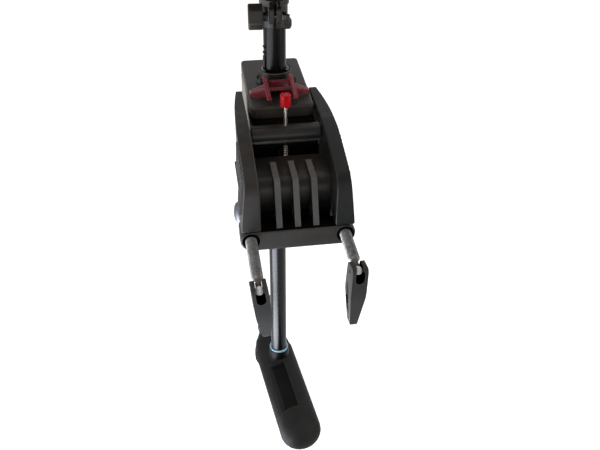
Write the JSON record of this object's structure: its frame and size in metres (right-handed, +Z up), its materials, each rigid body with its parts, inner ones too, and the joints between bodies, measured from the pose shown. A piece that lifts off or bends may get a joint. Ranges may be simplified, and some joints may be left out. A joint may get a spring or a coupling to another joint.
{
  "type": "trolling motor",
  "caption": "Transom-mount electric trolling motor: ribbed clamp bracket with folding screw handles, tilting head with pull-knob release, steering sleeve, depth collar, shaft and finned pod.",
  "frame": {"origin": "Under the middle of the saddle, on the face that sits on top of a boat's transom.", "axes": "+Z up along the shaft; +Y outboard, away from the boat; +X to the right of someone in the boat who faces the motor."},
  "size_m": [0.153, 0.5118, 0.9844],
  "materials": {
    "black_plastic": "moulded black nylon with a fine matt grain",
    "grey_plastic": "moulded dark grey nylon, worn matt",
    "gloss_black": "glossy black composite tube",
    "maroon_plastic": "moulded maroon plastic, satin",
    "red_plastic": "moulded red plastic, satin gloss",
    "blue_rubber": "light blue seal ring",
    "zinc_steel": "zinc-plated steel",
    "dark_steel": "dark oiled steel",
    "bronze": "plain bronze",
    "copper": "copper windings and bars",
    "ferrite": "sintered ferrite",
    "painted_pod": "satin black paint over die-cast aluminium",
    "soft_rubber": "black nitrile rubber"
  },
  "bodies": {
    "bracket": {"left_side_plate": "black_plastic", "right_side_plate": "black_plastic", "ribbed_saddle": "grey_plastic", "clamp_crossbar": "black_plastic", "left_thread_insert": "dark_steel", "right_thread_insert": "dark_steel", "outboard_jaw": "black_plastic", "jaw_bolt": "zinc_steel", "jaw_nut": "zinc_steel", "tilt_index_sector": "dark_steel"},
    "left_pad": {"left_clamp_pad": "black_plastic"},
    "left_screw": {"left_clamp_screw": "zinc_steel", "left_handle_pin": "dark_steel"},
    "left_handle": {"left_clamp_handle": "black_plastic"},
    "right_pad": {"right_clamp_pad": "black_plastic"},
    "right_screw": {"right_clamp_screw": "zinc_steel", "right_handle_pin": "dark_steel"},
    "right_handle": {"right_clamp_handle": "black_plastic"},
    "tilt_head": {"tilt_cover": "black_plastic", "tilt_frame": "black_plastic", "hinge_bar": "black_plastic", "upper_bush": "bronze", "lower_bush": "bronze", "lever_pin": "dark_steel", "release_spring": "zinc_steel"},
    "release_plunger": {"release_knob": "red_plastic", "release_rod": "zinc_steel"},
    "lock_lever": {"steering_lock_lever": "maroon_plastic"},
    "sleeve": {"steering_sleeve": "gloss_black", "sleeve_end_bush": "black_plastic", "depth_collar": "black_plastic", "collar_nut": "dark_steel"},
    "depth_knob": {"collar_knob": "black_plastic", "collar_screw": "zinc_steel"},
    "shaft": {"main_shaft": "gloss_black", "neck_ring": "blue_rubber", "pod_housing": "painted_pod", "nose_cone": "painted_pod", "end_bell": "painted_pod", "front_bearing": "dark_steel", "rear_bearing": "dark_steel", "shaft_seal": "soft_rubber", "left_magnet": "ferrite", "right_magnet": "ferrite", "brush_plate": "bronze", "head_base": "black_plastic", "head_cover": "black_plastic", "speed_switch": "black_plastic", "cable_gland": "soft_rubber"},
    "rotor": {"armature": "copper", "commutator": "copper", "motor_shaft": "zinc_steel", "drive_pin": "dark_steel", "propeller": "black_plastic", "prop_nut": "zinc_steel"},
    "tiller": {"tiller_arm": "black_plastic", "tiller_pin": "dark_steel"},
    "grip": {"twist_grip": "soft_rubber"}
  },
  "joints": [
    {"name": "tilt", "type": "hinge", "parent": "bracket", "child": "tilt_head", "pos_m": [0, 0.046, 0.028], "axis": [1, 0, 0], "range_deg": [0, 75]},
    {"name": "release_pull", "type": "slide", "parent": "tilt_head", "child": "release_plunger", "axis": [0, 0, 1], "range_m": [0, 0.01], "stiffness_N_per_m": 300, "springref_m": -0.006, "deforming": ["release_spring"]},
    {"name": "lever_lift", "type": "hinge", "parent": "tilt_head", "child": "lock_lever", "pos_m": [0, 0.13, 0.068], "axis": [-1, 0, 0], "range_deg": [0, 35]},
    {"name": "steer", "type": "hinge", "parent": "tilt_head", "child": "sleeve", "pos_m": [0, 0.16, 0], "axis": [0, 0, 1], "range_deg": [-180, 180]},
    {"name": "knob_turn", "type": "hinge", "parent": "sleeve", "child": "depth_knob", "pos_m": [-0.0023, 0.13009, 0.162], "axis": [0.9971, -0.0767, 0], "range_deg": [0, 360]},
    {"name": "depth", "type": "slide", "parent": "sleeve", "child": "shaft", "axis": [0, 0, 1], "range_m": [-0.028, 0.2]},
    {"name": "prop_spin", "type": "hinge", "parent": "shaft", "child": "rotor", "pos_m": [0, 0.16, -0.5405], "axis": [-0.1125, 0.9937, 0], "continuous": true},
    {"name": "tiller_lift", "type": "hinge", "parent": "shaft", "child": "tiller", "pos_m": [0.01125, 0.06063, 0.24], "axis": [-0.9937, -0.1125, 0], "range_deg": [0, 60]},
    {"name": "grip_twist", "type": "hinge", "parent": "tiller", "child": "grip", "pos_m": [0.01125, 0.06063, 0.24], "axis": [0.107, -0.945, 0.309], "range_deg": [-60, 60]},
    {"name": "left_clamp", "type": "slide", "parent": "bracket", "child": "left_pad", "axis": [0, 1, 0], "range_m": [0, 0.048]},
    {"name": "left_turn", "type": "hinge", "parent": "left_pad", "child": "left_screw", "pos_m": [-0.062, -0.1765, -0.059], "axis": [0, 1, 0], "range_deg": [0, 8640]},
    {"name": "left_handle_fold", "type": "hinge", "parent": "left_screw", "child": "left_handle", "pos_m": [-0.062, -0.1765, -0.059], "axis": [0.9951, 0, 0.0993], "range_deg": [-90, 12]},
    {"name": "right_clamp", "type": "slide", "parent": "bracket", "child": "right_pad", "axis": [0, 1, 0], "range_m": [-0.02, 0.024]},
    {"name": "right_turn", "type": "hinge", "parent": "right_pad", "child": "right_screw", "pos_m": [0.062, -0.1555, -0.059], "axis": [0, 1, 0], "range_deg": [-3600, 4320]},
    {"name": "right_handle_fold", "type": "hinge", "parent": "right_screw", "child": "right_handle", "pos_m": [0.062, -0.1555, -0.059], "axis": [0.9976, 0, -0.0698], "range_deg": [-90, 12]}
  ],
  "couplings": [
    {"joint": "left_clamp", "follows": "left_turn", "m_per_rad": 0.00031831},
    {"joint": "right_clamp", "follows": "right_turn", "m_per_rad": 0.00031831}
  ]
}
